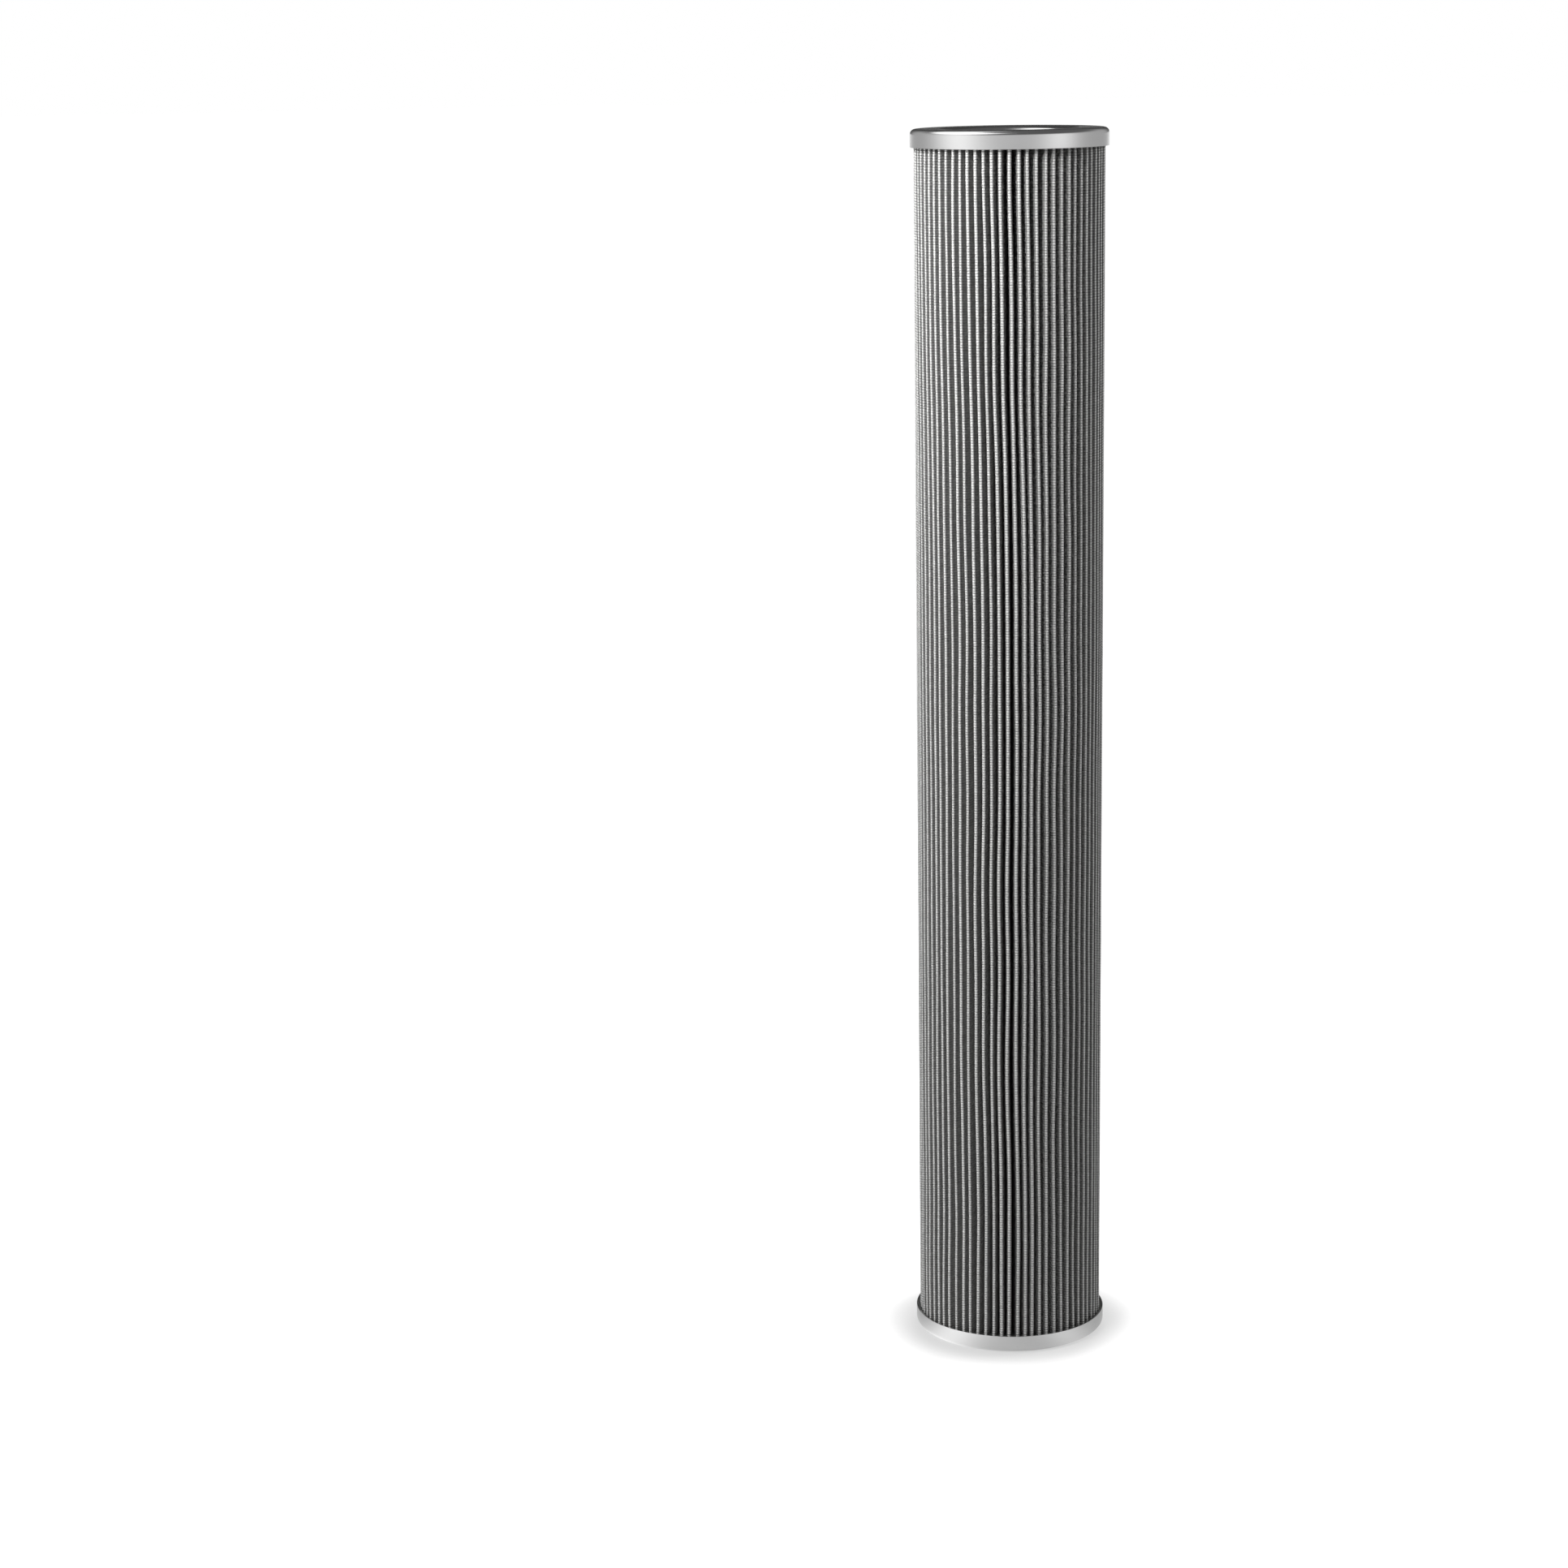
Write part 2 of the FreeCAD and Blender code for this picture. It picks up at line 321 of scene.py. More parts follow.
def from_top(*places):
    """Corners of a profile at the upper end, from diameters and depths below the end face."""
    return np.array([(diameter / 2, TOTAL_LENGTH - depth) for diameter, depth in places])


def cap_profile(cap):
    """Upper cap: up the skirt, over the face, down the dish and the lip, and in along the seat."""
    corners = from_top(
        (cap.diameter, cap.skirt), (cap.diameter, 0), (cap.dish, 0), (cap.lip, cap.dish_depth),
        (cap.lip, cap.seat_depth), (cap.land, cap.seat_depth))
    radii = [0.0, cap.corner, cap.dish_bend, cap.lip_roll, cap.seat_corner, 0.0]
    return sheet_profile(corners, radii, cap.sheet, cap.cut_edge)


def retainer_profile(cap, pack):
    """Upper retainer: down the back of the seal groove, in along the shelf, down the collar."""
    corners = from_top(
        (cap.groove, cap.seat_depth + cap.sheet), (cap.groove, cap.shelf_depth),
        (cap.collar, cap.shelf_depth), (cap.collar, pack.end_depth))
    radii = [0.0, cap.shelf_corner, cap.collar_bend, 0.0]
    return sheet_profile(corners, radii, cap.sheet, cap.cut_edge)


def seal_profile(cap, steps=28):
    """Round section of the seal ring: its centre plus the cord's radius in each direction."""
    turn = np.linspace(0.0, 2 * math.pi, steps, endpoint=False)
    middle = TOTAL_LENGTH - (cap.seat_depth + cap.sheet + cap.shelf_depth) / 2
    centre = np.array((cap.seal_bore / 2 + cap.cord / 2, middle))
    return centre + np.stack((np.cos(turn), np.sin(turn)), axis=1) * cap.cord / 2


# Folded pack

def soft_waves(rng, count, heights, reach, waves=10, turns=0.75, softness=1.8):
    """Smooth sideways drift for each of count pleats, one row for each height, within reach.

    Each pleat adds cosines that make whole multiples of the turns over the length. Their random
    size falls as their number's cube root. The hyperbolic tangent of the sum, divided by the
    softness, keeps it within reach.
    """
    number = np.arange(1, waves + 1)
    size = rng.normal(size=(count, waves)) / np.cbrt(number)
    phase = rng.uniform(0, 2 * math.pi, size=(count, waves))
    angle = 2 * math.pi * turns * number[:, None] * heights / TOTAL_LENGTH
    drift = (size[:, :, None] * np.cos(angle + phase[:, :, None])).sum(axis=1)
    return reach * np.tanh(drift / softness)


def eased(share):
    """Zero below share 0, one above share 1, and 3 share squared minus 2 share cubed between."""
    share = np.clip(share, 0.0, 1.0)
    return share * share * (3 - 2 * share)


def stepped(value, middle, softness):
    """Logistic step from zero to one, half way up where the value is at the middle."""
    return 1 / (1 + np.exp((middle - value) / softness))


def bell(value, middle, width):
    """Bell curve of one at the middle: e to the minus square of the way from it over the width."""
    return np.exp(-((value - middle) / width) ** 2)


def pack_lean(pack, angles, heights):
    """Sideways lean of the pleats in metres, by angle and height.

    All of it lies within half the lean to either side: four fifths come in the top two fifths
    of the length, and the rest near the lower end. The pleats on the left and in the middle of
    the front lean in full and the others by three tenths, joined by two logistic steps.
    """
    upper_share, upper_run = 0.82, 0.42
    lower_start, lower_run = 0.70, 0.25
    left_edge, left_softness, right_edge, right_softness = -125, 12, 14, 5
    least = 0.3
    down = 1 - heights[None, :] / TOTAL_LENGTH
    upper = upper_share * eased(down / upper_run)
    lower = (1 - upper_share) * eased((down - lower_start) / lower_run)
    bearing = np.mod(np.degrees(angles)[:, None] + 90 + 180, 360) - 180
    full = (stepped(bearing, left_edge, left_softness)
            * stepped(-bearing, -right_edge, right_softness))
    return pack.lean * (upper + lower - 0.5) * (least + (1 - least) * full)


def kept_apart(tips, first, least=0.66, most=1.4):
    """The tips with each gap between neighbours within the least and the most of the even gap.

    The gaps are cut to these limits, scaled to make one full turn again, and added up from the
    first tip.
    """
    order = np.roll(tips, -first, axis=0)
    gaps = np.diff(order, axis=0, append=order[:1] + 2 * math.pi)
    gaps = np.mod(gaps, 2 * math.pi)
    even = 2 * math.pi / len(tips)
    gaps = np.clip(gaps, least * even, most * even)
    gaps *= 2 * math.pi / gaps.sum(axis=0)
    placed = order[:1] + np.concatenate((np.zeros_like(gaps[:1]), np.cumsum(gaps, axis=0)[:-1]))
    placed = np.roll(placed, first, axis=0)
    placed[:first] -= 2 * math.pi
    return placed


def pack_wander(pack, heights):
    """Angles of the pleats and valleys, and each tip's outward place and width, at each height.

    A pleat's angle is its even place, plus a lean, a drift that neighbours share, a drift of its
    own and an uneven spacing, all divided by the tip's radius. The pleats beside the seam stay
    even, and those after them come free one by one.
    """
    own_share, neighbours, free_after, free_over = 0.7, 4.0, 1, 3
    deepest_inset, inset_sway = 0.35 * MM, 0.1 * MM
    narrowest, widest = -0.05 * MM, 0.09 * MM
    rng = np.random.default_rng(pack.seed)
    count = pack.pleats
    radius = pack.tip_diameter / 2
    own = soft_waves(rng, count, heights, pack.drift * own_share)
    shared = soft_waves(rng, count, heights, pack.drift)
    ring = np.arange(count)
    ahead = (ring[:, None] - ring[None, :]) % count
    apart = np.minimum(ahead, -ahead % count)
    kernel = bell(apart, 0, neighbours)
    shared = (kernel / np.sqrt((kernel ** 2).sum(axis=1, keepdims=True))) @ shared
    spacing = rng.uniform(-pack.uneven, pack.uneven, size=(count, 1))
    free = np.clip(apart[pack.seam_pleat] - free_after, 0, free_over)[:, None] / free_over
    even = ring[:, None] * 2 * math.pi / count
    lean = pack_lean(pack, even[:, 0], heights)
    offset = (lean + own + shared + spacing) * free / radius
    tips = kept_apart(even + offset, pack.seam_pleat)
    offset = tips - even
    valleys = even + math.pi / count + (offset + np.roll(offset, -1, axis=0)) / 2
    inset = rng.uniform(0, deepest_inset, size=(count, 1)) * free
    inset = inset + inset_sway * np.tanh(np.abs(soft_waves(rng, count, heights, 1.0))) * free
    width = rng.uniform(narrowest, widest, size=(count, 1)) * free * np.ones_like(tips)
    return tips, valleys, inset, width


def bends(angles, centre_radius, bulge, radius, steps):
    """Half-turn bends at many angles: arrays of (bend, height, point, 2).

    Each point is the bend's centre plus radius times (bulge sin t outwards minus cos t
    sideways), with t from 0 to pi, in the frame that the bend's angle turns.
    """
    turn = np.linspace(0.0, math.pi, steps + 1)
    angle = angles[..., None]
    out = np.stack((np.cos(angle), np.sin(angle)), axis=-1)
    side = np.stack((-np.sin(angle), np.cos(angle)), axis=-1)
    reach = np.asarray(centre_radius)[..., None, None]
    size = np.asarray(radius)[..., None, None]
    sine = (bulge * np.sin(turn))[None, None, :, None]
    cosine = np.cos(turn)[None, None, :, None]
    return out * reach + (out * sine - side * cosine) * size


def fold_chain(pack, wander, offset, tip_steps, valley_steps):
    """One side of a folded layer, at its distance from the pack's outside: (height, point, 2).

    The chain leaves the trimmed pleat at the seam, follows every valley and tip in turn, and
    comes back to the trimmed pleat's other leg.
    """
    tips, valleys, inset, width = wander
    pack_thickness = pack.outer_mesh + pack.media + pack.inner_mesh
    tip_centre = pack.tip_diameter / 2 - pack.tip_width / 2 - inset - np.maximum(width, 0)
    tip_radius = pack.tip_width / 2 + width - offset
    valley_centre = np.full_like(valleys, pack.bore / 2 + pack_thickness + pack.valley_gap / 2)
    valley_radius = np.full_like(valleys, pack.valley_gap / 2 + offset)
    tip_bends = bends(tips, tip_centre, 1, tip_radius, tip_steps)
    valley_bends = bends(valleys, valley_centre, -1, valley_radius, valley_steps)
    order = (pack.seam_pleat + np.arange(pack.pleats)) % pack.pleats
    tip_bends, valley_bends = tip_bends[order], valley_bends[order]
    seam_out = np.array((math.cos(tips[order[0], 0]), math.sin(tips[order[0], 0])))
    seam_reach = pack.tip_diameter / 2 - pack.seam_trim

    def trimmed(tip_end, root):
        """The place where the leg from a tip's end to a valley's root is cut."""
        share = (tip_end @ seam_out - seam_reach) / ((tip_end - root) @ seam_out)
        return tip_end + (root - tip_end) * share[:, None]

    start = trimmed(tip_bends[0, :, -1], valley_bends[0, :, 0])
    end = trimmed(tip_bends[0, :, 0], valley_bends[-1, :, -1])
    pairs = np.concatenate((tip_bends[1:], valley_bends[1:]), axis=2)
    middle = np.moveaxis(pairs, 0, 1).reshape(pairs.shape[1], -1, 2)
    return np.concatenate((start[:, None], valley_bends[0], middle, end[:, None]), axis=1)


def folded_layer(pack, offset, thickness, rows, tip_steps, valley_steps):
    """Folded sheet as a closed shell: its outside, its inside, both ends and the seam's edges.

    Returns the points, the faces, for each face's corners the way along the folds and the
    height, and for each point the depth below its own pleat's tip, all but the points in
    millimetres.
    """
    low, high = pack.end_depth, TOTAL_LENGTH - pack.end_depth
    heights = np.linspace(low, high, rows)
    wander = pack_wander(pack, heights)
    outer = fold_chain(pack, wander, offset, tip_steps, valley_steps)
    inner = fold_chain(pack, wander, offset + thickness, tip_steps, valley_steps)
    chain = outer.shape[1]
    outline = np.concatenate((outer, inner[:, ::-1]), axis=1)
    levels = np.broadcast_to(heights[:, None, None], outline.shape[:2] + (1,))
    points = np.concatenate((outline, levels), axis=2).reshape(-1, 3)
    sides = wrapped_quads(rows, 2 * chain, wrap_rows=False)
    step = np.arange(chain - 1)
    facing = 2 * chain - 1 - step
    bottom = np.stack((step, facing, facing - 1, step + 1), axis=1)
    top = np.stack((step, step + 1, facing - 1, facing), axis=1) + (rows - 1) * 2 * chain
    quads = np.concatenate((sides, bottom, top))
    middle_row = outer[rows // 2]
    along = np.concatenate(([0.0], np.cumsum(np.linalg.norm(np.diff(middle_row, axis=0), axis=1))))
    along = np.concatenate((along, along[::-1])) / MM
    order = (pack.seam_pleat + np.arange(pack.pleats)) % pack.pleats
    corners = np.full(pack.pleats, tip_steps + valley_steps + 2)
    corners[0] = valley_steps + 2
    pleat = np.append(np.repeat(order, corners), order[0])
    tip_reach = (pack.tip_diameter / 2 - wander[2]).T[:, np.append(pleat, pleat[::-1])]
    depth = (tip_reach - np.linalg.norm(outline, axis=2)) / MM
    column = quads % (2 * chain)
    height = points[quads, 2] / MM
    return points, quads, np.stack((along[column], height), axis=-1), depth


# Core tube

def perforated_tube(core):
    """Tube of rectangular cells, each with a round hole, every second row half a cell round.

    The outside and the inside are lattices of quarter cells round and half cells up. A cell's
    twelve lattice points are joined to the twelve points of its hole, the two hole rims to each
    other, and the plain end bands to the two outermost lattice lines.
    """
    columns = core.columns
    tube_length = TOTAL_LENGTH - 2 * core.end_depth
    rows = int(tube_length / core.row_pitch) - 1
    first = core.end_depth + (tube_length - rows * core.row_pitch) / 2
    round_steps, up_steps = 4 * columns, 2 * rows + 1
    outer_radius, inner_radius = core.diameter / 2, core.diameter / 2 - core.wall

    def place(angle_steps, heights, radius):
        """Points of one skin at steps round the tube."""
        return around(angle_steps * 2 * math.pi / round_steps, radius, heights)

    row, column = np.meshgrid(np.arange(rows), np.arange(columns), indexing="ij")
    centre_round = (4 * column + 2 * (row % 2)).reshape(-1, 1)
    centre_up = (2 * row + 1).reshape(-1, 1)
    across = np.array((2, 2, 1, 0, -1, -2, -2, -2, -1, 0, 1, 2))
    upward = np.array((0, 1, 1, 1, 1, 1, 0, -1, -1, -1, -1, -1))
    cell = (centre_up + upward) * round_steps + (centre_round + across) % round_steps
    lattice_up, lattice_round = np.divmod(np.arange(up_steps * round_steps), round_steps)
    lattice_height = first + lattice_up * core.row_pitch / 2
    turn = np.arange(12) * math.pi / 6
    step_length = 2 * math.pi * outer_radius / round_steps
    hole_round = centre_round + np.cos(turn) * core.hole / 2 / step_length
    hole_height = first + centre_up * core.row_pitch / 2 + np.sin(turn) * core.hole / 2
    ends = np.repeat((core.end_depth, TOTAL_LENGTH - core.end_depth), round_steps)
    ends_round = np.tile(np.arange(round_steps), 2)
    skins = [np.concatenate((place(lattice_round, lattice_height, radius),
                             place(hole_round.ravel(), hole_height.ravel(), radius),
                             place(ends_round, ends, radius)))
             for radius in (outer_radius, inner_radius)]
    skin_size = len(skins[0])
    holes = up_steps * round_steps + np.arange(hole_round.size).reshape(-1, 12)
    rim = up_steps * round_steps + hole_round.size + np.arange(2 * round_steps).reshape(2, -1)

    def ring(first_loop, second_loop):
        """Faces between two loops of points that run the same way round."""
        quads = (first_loop, np.roll(first_loop, -1, axis=-1),
                 np.roll(second_loop, -1, axis=-1), second_loop)
        return np.stack(quads, axis=-1).reshape(-1, 4)

    lower_line = np.arange(round_steps)
    upper_line = (up_steps - 1) * round_steps + lower_line
    skin = np.concatenate((ring(cell, holes), ring(rim[0], lower_line), ring(upper_line, rim[1])))
    quads = np.concatenate((
        skin,
        skin[:, ::-1] + skin_size,
        ring(holes, holes + skin_size),
        ring(rim[1], rim[1] + skin_size),
        ring(rim[0] + skin_size, rim[0])))
    used, quads = np.unique(quads, return_inverse=True)
    return np.concatenate(skins)[used], quads.reshape(-1, 4)


# Materials

def feed(tree, node, inputs):
    """Each named input of a node gets a value, or a link from another node's socket."""
    for key, value in inputs.items():
        if isinstance(value, bpy.types.NodeSocket):
            tree.links.new(value, node.inputs[key])
        else:
            node.inputs[key].default_value = value


def add_node(tree, kind, settings=None, inputs=None):
    """New node with its settings, and its inputs fed."""
    node = tree.nodes.new(kind)
    for key, value in (settings or {}).items():
        setattr(node, key, value)
    feed(tree, node, inputs or {})
    return node


def maths(tree, operation, *values):
    """Output of a Math node on numbers or sockets."""
    node = add_node(tree, "ShaderNodeMath", {"operation": operation}, dict(enumerate(values)))
    return node.outputs[0]


def mixed(tree, factor, first, second):
    """Colour between two colours or sockets, by a factor."""
    node = add_node(tree, "ShaderNodeMix", {"data_type": "RGBA"},
                    {"Factor": factor, "A": first, "B": second})
    return node.outputs["Result"]


def spread(tree, value, given, wanted):
    """A value mapped smoothly from the range (low, high) given to the one wanted."""
    node = add_node(tree, "ShaderNodeMapRange", {"interpolation_type": "SMOOTHSTEP"},
                    {"Value": value, "From Min": given[0], "From Max": given[1],
                     "To Min": wanted[0], "To Max": wanted[1]})
    return node.outputs["Result"]


def noise(tree, vector, scale, detail=2.0, roughness=0.5):
    """Value of a noise texture."""
    node = add_node(tree, "ShaderNodeTexNoise", None,
                    {"Vector": vector, "Scale": scale, "Detail": detail, "Roughness": roughness})
    return node.outputs["Fac"]


def shades(tint, *factors):
    """The tint times each factor, at most white, as colours with their alpha."""
    return [(*(min(1.0, channel * factor) for channel in tint), 1.0) for factor in factors]


def shader_group(name, inputs, outputs):
    """Empty shader node group with a Coordinate input, and numbers in and out.

    inputs gives each number's default. Returns the tree, what it is given and its result.
    """
    tree = bpy.data.node_groups.new(name, "ShaderNodeTree")
    tree.interface.new_socket("Coordinate", in_out="INPUT", socket_type="NodeSocketVector")
    for label, default in inputs.items():
        socket = tree.interface.new_socket(label, in_out="INPUT", socket_type="NodeSocketFloat")
        socket.default_value = default
    for label in outputs:
        tree.interface.new_socket(label, in_out="OUTPUT", socket_type="NodeSocketFloat")
    return tree, tree.nodes.new("NodeGroupInput").outputs, tree.nodes.new("NodeGroupOutput")


def wire_cloth_group():
    """Plain weave of round wires, from a surface coordinate in millimetres.

    The wires round the folds lie one pitch apart in height, and those along the folds one warp
    pitch apart. A wire's height is the round of its section, and it rises over and sinks under
    the wires that cross it by a sine of the other coordinate.
    """
    tree, given, result = shader_group(
        "Wire cloth", {"Pitch": 1.4, "Warp Pitch": 1.1, "Wire Share": 0.8},
        ("Cover", "Height", "Tone"))
    bent = add_node(tree, "ShaderNodeTexNoise", None,
                    {"Vector": given["Coordinate"], "Scale": 0.05, "Detail": 1.0})
    shift = add_node(tree, "ShaderNodeVectorMath", {"operation": "MULTIPLY_ADD"},
                     {0: bent.outputs["Color"], 1: (0.9, 0.7, 0.0), 2: given["Coordinate"]})
    axes = add_node(tree, "ShaderNodeSeparateXYZ", None, {0: shift.outputs[0]})
    rise = maths(tree, "DIVIDE", axes.outputs["Y"], given["Pitch"])
    cross = maths(tree, "DIVIDE", axes.outputs["X"], given["Warp Pitch"])

    def wires(along, other, level, swing):
        """Height of one set of wires, which lie at steps of one coordinate.

        It is half a circle over the wire's own share of a step, times a level that swings by
        the sine of the other coordinate, half a turn later on each next wire.
        """
        offset = maths(tree, "SUBTRACT", maths(tree, "FRACT", along), 0.5)
        ratio = maths(tree, "DIVIDE", maths(tree, "MULTIPLY", offset, 2.0), given["Wire Share"])
        left = maths(tree, "SUBTRACT", 1.0, maths(tree, "MULTIPLY", ratio, ratio))
        section = maths(tree, "SQRT", maths(tree, "MAXIMUM", left, 0.0))
        start = maths(tree, "MULTIPLY", maths(tree, "FLOOR", along), math.pi)
        wave = maths(tree, "SINE", maths(tree, "MULTIPLY_ADD", other, math.pi, start))
        return maths(tree, "MULTIPLY", section, maths(tree, "MULTIPLY_ADD", wave, swing, level))

    weft = wires(rise, cross, level=0.95, swing=0.05)
    warp = wires(cross, rise, level=0.24, swing=-0.08)
    height = maths(tree, "MAXIMUM", weft, warp)
    grime = noise(tree, given["Coordinate"], scale=0.35, detail=3.0)
    feed(tree, result, {
        "Height": height,
        "Cover": spread(tree, height, (-0.15, 0.55), (0.0, 1.0)),
        "Tone": spread(tree, grime, (0.3, 0.75), (0.86, 1.04))})
    return tree


def sheet_wear_group():
    """Handling marks on pressed sheet: slow mottling, fine scratches and slight waviness."""
    tree, given, result = shader_group(
        "Sheet wear", {"Amount": 1.0}, ("Tone", "Roughness", "Height"))
    coordinate = given["Coordinate"]
    mottle = noise(tree, coordinate, scale=38.0, detail=4.0, roughness=0.55)
    grain = noise(tree, coordinate, scale=900.0)
    wave = noise(tree, coordinate, scale=26.0, detail=1.0)
    stretched = add_node(tree, "ShaderNodeMapping", None,
                         {"Vector": coordinate, "Rotation": (0.2, 0.1, 0.7),
                          "Scale": (900.0, 45.0, 900.0)})
    streaks = noise(tree, stretched.outputs[0], scale=1.0)
    scratches = spread(tree, streaks, (0.62, 0.74), (0.0, 1.0))
    contrast = maths(tree, "MULTIPLY", given["Amount"], 0.16)
    scratched = maths(tree, "MULTIPLY_ADD", scratches, 0.10, 0.10)
    fine = maths(tree, "MULTIPLY_ADD", grain, 0.004, wave)
    feed(tree, result, {
        "Tone": maths(tree, "MULTIPLY_ADD", maths(tree, "SUBTRACT", mottle, 0.5), contrast, 1.0),
        "Roughness": maths(tree, "MULTIPLY_ADD", mottle, 0.12, scratched),
        "Height": maths(tree, "MULTIPLY_ADD", scratches, -0.012, fine)})
    return tree


def empty_tree(block):
    """Node tree of a new material or world, with no node in it."""
    block.use_nodes = True
    block.node_tree.nodes.clear()
    return block.node_tree


def new_material(name):
    """Material with a Principled BSDF joined to its output, and its texture coordinates."""
    material = bpy.data.materials.new(name)
    tree = empty_tree(material)
    shader = tree.nodes.new("ShaderNodeBsdfPrincipled")
    add_node(tree, "ShaderNodeOutputMaterial", None, {"Surface": shader.outputs["BSDF"]})
    return material, tree, shader, tree.nodes.new("ShaderNodeTexCoord").outputs


def bumped(tree, height, distance):
    """Normal of a surface whose height of one stands out by a distance in metres."""
    node = add_node(tree, "ShaderNodeBump", None,
                    {"Height": height, "Distance": distance, "Strength": 1.0})
    return node.outputs["Normal"]


def placed_group(tree, name, build, inputs):
    """Outputs of a shared group, built at its first use and placed with values of its own."""
    group = bpy.data.node_groups.get(name) or build()
    return add_node(tree, "ShaderNodeGroup", {"node_tree": group}, inputs).outputs


def steel_material(name, tint, amount):
    """Pressed steel sheet with a satin face, whose colour is the tint where the tone is one."""
    material, tree, shader, where = new_material(name)
    marks = placed_group(tree, "Sheet wear", sheet_wear_group,
                         {"Coordinate": where["Object"], "Amount": amount})
    factor = maths(tree, "MULTIPLY", marks["Tone"], 0.5)
    feed(tree, shader, {
        "Base Color": mixed(tree, factor, *shades(tint, 0.5, 1.5)),
        "Roughness": marks["Roughness"],
        "Metallic": 1.0,
        "Normal": bumped(tree, marks["Height"], 0.35 * MM)})
    return material


def painted_light_by_depth(tree):
    """Painted light and shade on the wires by depth: a painted highlight on a pleat's crest, the
    darkest painted shade beside it, and lighter painted shade below.
    """
    crest_end, flank_end = 0.46, 1.8
    on_crest, beside, below = 0.80, 0.24, 0.50
    depth = add_node(tree, "ShaderNodeAttribute", {"attribute_name": "depth"}).outputs["Fac"]
    # painted highlight on the crest and painted shade down the flank, by the depth below the tip
    painted_crest_light = spread(tree, depth, (0.0, crest_end), (on_crest, 0.0))
    painted_flank_shade = spread(tree, depth, (crest_end, flank_end), (beside, below))
    return maths(tree, "ADD", painted_crest_light, painted_flank_shade)


def wire_material(name, finish, pack, share, relief):
    """Woven wire: bright crests over openings in painted shade, with a random tone and painted
    light and shade by the depth below the pleat's tip.
    """
    material, tree, shader, where = new_material(name)
    weave = placed_group(tree, "Wire cloth", wire_cloth_group, {
        "Coordinate": where["UV"], "Pitch": pack.wire_pitch / MM,
        "Warp Pitch": pack.warp_pitch / MM, "Wire Share": share})
    cover = weave["Cover"]
    # painted light and shade by depth, times the wire cloth's random tone
    painted_brightness = maths(tree, "MULTIPLY", weave["Tone"], painted_light_by_depth(tree))
    tone_and_painted_light = add_node(tree, "ShaderNodeVectorMath", {"operation": "SCALE"},
                     {0: finish.wire[:], "Scale": painted_brightness})
    feed(tree, shader, {
        "Base Color": mixed(tree, cover, (*finish.painted_gap_shade, 1.0), tone_and_painted_light.outputs[0]),
        "Roughness": spread(tree, cover, (0.0, 1.0), (0.8, 0.45)),
        "Metallic": spread(tree, cover, (0.0, 1.0), (0.0, 0.15)),
        "Normal": bumped(tree, weave["Height"], relief)})
    return material


def matt_material(name, tint, scale, roughness, relief):
    """Dull solid finish with a fine grain and a slow change of colour."""
    material, tree, shader, where = new_material(name)
    patch = noise(tree, where["Object"], scale * 0.12, detail=3.0)
    grain = noise(tree, where["Object"], scale, detail=3.0)
    feed(tree, shader, {
        "Base Color": mixed(tree, patch, *shades(tint, 0.75, 1.3)),
        "Roughness": spread(tree, grain, (0.25, 0.75), (roughness - 0.08, roughness + 0.08)),
        "Normal": bumped(tree, grain, relief)})
    return material


def dress_node(node, material):
    """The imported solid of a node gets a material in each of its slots."""
    packed = bpy.data.objects[node]
    if not packed.material_slots:
        packed.data.materials.append(material)
    for slot in packed.material_slots:
        slot.material = material


def add_pair(piece, node, profile, segments, material, slot):
    """The ring turned from a profile of the upper end, and its mirror at the lower end."""
    for end in ("upper", "lower"):
        outline = facing_out(at_end(profile, end == "upper"))
        mesh_piece(f"{end}_{piece}", *turned(outline, segments), material, slot,
                   [f"{end}_{node}"])


# Operators

class FILTER_OT_end_caps(bpy.types.Operator):
    """Add the two pressed end caps"""

    bl_idname = "filter_element.end_caps"
    bl_label = "End Caps"

    def execute(self, context):
        scene = context.scene
        steel = steel_material("cap steel", scene.filter_finishes.cap_steel, 1.0)
        profile = cap_profile(scene.filter_caps)
        add_pair("cap_shell", "end_cap", profile, 256, steel, "end_cap_steel")
        return {"FINISHED"}


class FILTER_OT_seal_retainers(bpy.types.Operator):
    """Add the two pressed rings that hold the seals"""

    bl_idname = "filter_element.seal_retainers"
    bl_label = "Seal Retainers"

    def execute(self, context):
        scene = context.scene
        steel = steel_material("retainer steel", scene.filter_finishes.retainer_steel, 1.4)
        profile = retainer_profile(scene.filter_caps, scene.filter_pack)
        add_pair("retainer_ring", "seal_retainer", profile, 192, steel, "retainer_steel")
        return {"FINISHED"}


class FILTER_OT_seal_rings(bpy.types.Operator):
    """Add the two rubber rings in their grooves"""

    bl_idname = "filter_element.seal_rings"
    bl_label = "Seal Rings"

    def execute(self, context):
        scene = context.scene
        rubber = matt_material("seal rubber", scene.filter_finishes.rubber, scale=1500.0,
                               roughness=0.46, relief=0.03 * MM)
        profile = seal_profile(scene.filter_caps)
        add_pair("rubber_ring", "seal_ring", profile, 160, rubber, "seal_rubber")
        return {"FINISHED"}


class FILTER_OT_core_tube(bpy.types.Operator):
    """Add the perforated core tube"""

    bl_idname = "filter_element.core_tube"
    bl_label = "Core Tube"

    def execute(self, context):
        scene = context.scene
        black = matt_material("core black", scene.filter_finishes.core, scale=1100.0,
                              roughness=0.42, relief=0.02 * MM)
        mesh_piece("perforated_core", *perforated_tube(scene.filter_core), black, "core_black",
                   ["core_tube"])
        return {"FINISHED"}


